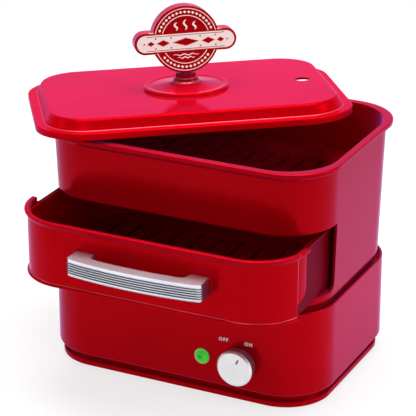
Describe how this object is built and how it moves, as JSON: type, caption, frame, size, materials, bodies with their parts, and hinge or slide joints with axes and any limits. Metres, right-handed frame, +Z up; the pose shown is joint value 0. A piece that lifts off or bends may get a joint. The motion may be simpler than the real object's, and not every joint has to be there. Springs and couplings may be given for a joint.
{
  "type": "hot dog steamer",
  "caption": "Countertop hot dog steamer: heated base with knob and lamp, lift-off housing with a pull-out sausage drawer and a bun compartment under a loose lid with a sign-shaped finial.",
  "frame": {"origin": "middle of the base's flat underside, on the worktop", "axes": "+X right along the front, front faces -Y, +Z up"},
  "size_m": [0.4289, 0.441, 0.3839],
  "materials": {
    "red_shell": "glossy moulded red",
    "cream_print": "cream inlay",
    "silver_plastic": "silver-grey satin",
    "black_plastic": "black moulded",
    "white_plastic": "natural nylon",
    "rubber": "soft black",
    "aluminium": "pressed sheet",
    "element": "heat-tinted sheath",
    "steel": "zinc plated",
    "brass": "turned",
    "green_lens": "translucent green",
    "bulb_glass": "clear",
    "wire_sleeve": "silicone sleeve"
  },
  "bodies": {
    "base": {"base_casing": "red_shell", "bottom_cover": "red_shell", "rubber_foot_1": "rubber", "rubber_foot_2": "rubber", "rubber_foot_3": "rubber", "rubber_foot_4": "rubber", "cover_screw_1": "steel", "cover_screw_2": "steel", "cover_screw_3": "steel", "cover_screw_4": "steel", "water_tray": "aluminium", "heating_element": "element", "thermostat": "black_plastic", "power_switch": "black_plastic", "switch_nut": "brass", "lamp_bezel": "white_plastic", "lamp_lens": "green_lens", "lamp_holder": "black_plastic", "lamp_clip": "steel", "neon_bulb": "bulb_glass", "terminal_block": "white_plastic", "cord_gland": "black_plastic", "wire_supply": "wire_sleeve", "wire_feed": "wire_sleeve", "wire_heater": "wire_sleeve", "wire_return": "wire_sleeve", "wire_lamp": "wire_sleeve"},
    "selector": {"knob": "silver_plastic", "switch_shaft": "steel"},
    "housing": {"housing_shell": "red_shell", "bun_rack": "red_shell"},
    "drawer": {"drawer_front": "red_shell", "drawer_tray": "red_shell", "handle": "silver_plastic", "handle_screw_left": "steel", "handle_screw_right": "steel"},
    "lid": {"lid_shell": "red_shell", "lid_knob": "red_shell", "sign_plate": "red_shell", "sign_ring": "cream_print", "sign_banner": "cream_print", "lid_screw": "steel", "lid_washer": "steel"}
  },
  "joints": [
    {"name": "knob_turn", "type": "hinge", "parent": "base", "child": "selector", "pos_m": [0.0808, -0.1205, 0.0462], "axis": [0, -1, 0], "range_deg": [0, 60]},
    {"name": "housing_lift", "type": "slide", "parent": "base", "child": "housing", "axis": [0, 0, 1], "range_m": [0, 0.08]},
    {"name": "drawer_slide", "type": "slide", "parent": "housing", "child": "drawer", "axis": [0, -1, 0], "range_m": [-0.072, 0.088]},
    {"name": "lid_lift", "type": "slide", "parent": "housing", "child": "lid", "axis": [0, 0, 1], "range_m": [0, 0.12]}
  ]
}
